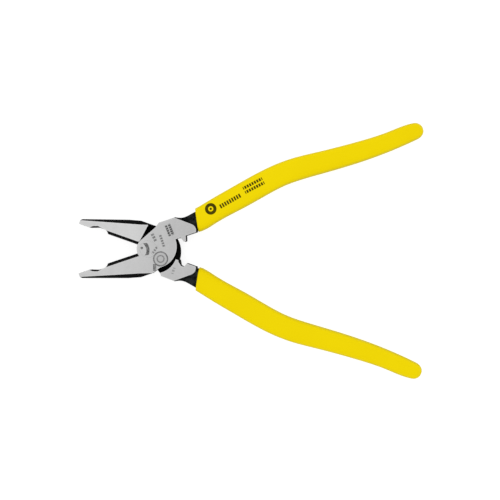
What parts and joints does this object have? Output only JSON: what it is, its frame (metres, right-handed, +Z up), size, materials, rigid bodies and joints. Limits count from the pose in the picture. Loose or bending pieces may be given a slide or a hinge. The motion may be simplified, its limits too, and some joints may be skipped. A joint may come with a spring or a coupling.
{
  "type": "lineman pliers",
  "caption": "Lineman pliers with offset rivet, knife edges, serrated nose, crimp die behind the joint and dipped grips, lying open",
  "frame": {"origin": "centre of the open tool's bounding box, on the surface that it lies on", "axes": "+X from the jaw tips to the handle ends, +Y across the tool to the front lever's handle, +Z up out of the ground faces, along the rivet"},
  "size_m": [0.205, 0.1532, 0.012],
  "materials": {
    "lever_steel": "ground faces over a black-oxide forging",
    "rivet_steel": "ground flush with the head",
    "grip_vinyl": "dipped vinyl, satin gloss"
  },
  "bodies": {
    "front": {"front_lever": "lever_steel", "pivot_rivet": "rivet_steel", "upper_grip": "grip_vinyl"},
    "rear": {"rear_lever": "lever_steel", "lower_grip": "grip_vinyl"}
  },
  "joints": [
    {"name": "jaw_pivot", "type": "hinge", "parent": "front", "child": "rear", "pos_m": [-0.06125, 0, 0.006], "axis": [0, 0, 1], "range_deg": [-8, 38]}
  ]
}
